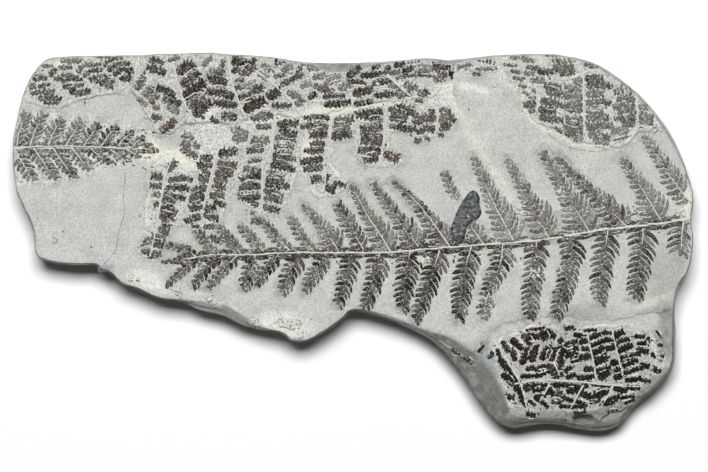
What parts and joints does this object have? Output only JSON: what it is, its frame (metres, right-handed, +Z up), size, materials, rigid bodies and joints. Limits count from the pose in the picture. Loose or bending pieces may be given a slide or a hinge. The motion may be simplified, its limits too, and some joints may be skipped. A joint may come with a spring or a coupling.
{
  "type": "fossil fern plate",
  "caption": "Broken slab of pale grey shale that lies flat, with carbonised fern fronds in low relief over its upper bed.",
  "frame": {"origin": "middle of the slab's bounding box, on the flat base it rests on", "axes": "+X along the slab's length towards its rounded end, +Y towards its straighter long edge, +Z up, out of the fern-bearing face"},
  "size_m": [0.3059, 0.17, 0.0229],
  "materials": {
    "shale": "matt split shale with dark brown to black carbonised fern film and cream mineral stains"
  },
  "bodies": {
    "root": {"fern_plate": "shale"}
  },
  "joints": []
}
